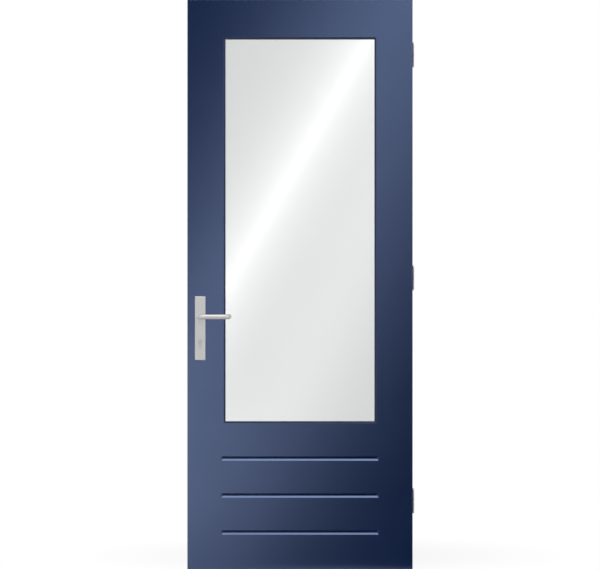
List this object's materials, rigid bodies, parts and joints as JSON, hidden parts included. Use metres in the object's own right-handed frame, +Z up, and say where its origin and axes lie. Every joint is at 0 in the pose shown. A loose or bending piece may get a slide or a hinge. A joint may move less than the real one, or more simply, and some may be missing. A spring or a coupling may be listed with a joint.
{
  "type": "insulated back door",
  "caption": "Flush insulated back door leaf with one tall double-glazed pane, grooved lower panel, lever handle set on long plates and butt hinges.",
  "frame": {"origin": "on the back of the bottom hinge's jamb plate, at the middle of the leaf's thickness and of that hinge's height", "axes": "+Z up along the leaf's height, +X out of the hinge side towards the jamb, +Y into the room; the outside face looks towards -Y"},
  "size_m": [0.838, 0.18, 2.1],
  "materials": {
    "navy_paint": "satin paint",
    "foam": "rigid insulating foam",
    "pane_glass": "clear float glass",
    "spacer_metal": "mill finish",
    "seal_rubber": "matte",
    "block_plastic": "moulded",
    "stainless": "brushed",
    "lock_zinc": "zinc plated",
    "nickel": "satin nickel"
  },
  "bodies": {
    "hinge_jamb_side": {"bottom_hinge_jamb_plate": "stainless", "bottom_hinge_pin": "stainless", "middle_hinge_jamb_plate": "stainless", "middle_hinge_pin": "stainless", "top_hinge_jamb_plate": "stainless", "top_hinge_pin": "stainless"},
    "leaf": {"outer_skin": "navy_paint", "inner_skin": "navy_paint", "lock_stile": "navy_paint", "hinge_stile": "navy_paint", "bottom_rail": "navy_paint", "cross_rail": "navy_paint", "top_rail": "navy_paint", "bottom_bead": "navy_paint", "right_bead": "navy_paint", "top_bead": "navy_paint", "left_bead": "navy_paint", "foam_core": "foam", "outer_pane": "pane_glass", "inner_pane": "pane_glass", "spacer_frame": "spacer_metal", "edge_seal": "seal_rubber", "outer_gasket": "seal_rubber", "inner_gasket": "seal_rubber", "setting_blocks": "block_plastic", "lock_forend": "stainless", "outside_handle_plate": "stainless", "inside_handle_plate": "stainless", "bottom_hinge_leaf_plate": "stainless", "middle_hinge_leaf_plate": "stainless", "top_hinge_leaf_plate": "stainless", "lock_case": "lock_zinc", "upper_hook_case": "lock_zinc", "lower_hook_case": "lock_zinc", "latch_bolt": "nickel", "dead_bolt": "nickel", "upper_hook": "nickel", "lower_hook": "nickel", "key_cylinder": "nickel", "outside_plug": "nickel", "inside_plug": "nickel"},
    "lever": {"outside_lever": "stainless", "inside_lever": "stainless", "spindle": "lock_zinc", "lock_follower": "lock_zinc"}
  },
  "joints": [
    {"name": "leaf_swing", "type": "hinge", "parent": "hinge_jamb_side", "child": "leaf", "pos_m": [-0.0045, 0.034, 0], "axis": [0, 0, -1], "range_deg": [0, 110]},
    {"name": "lever_turn", "type": "hinge", "parent": "leaf", "child": "lever", "pos_m": [-0.7885, 0, 0.681], "axis": [0, 1, 0], "range_deg": [0, 40], "stiffness_Nm_per_rad": 1.2, "springref_deg": -34.38}
  ]
}
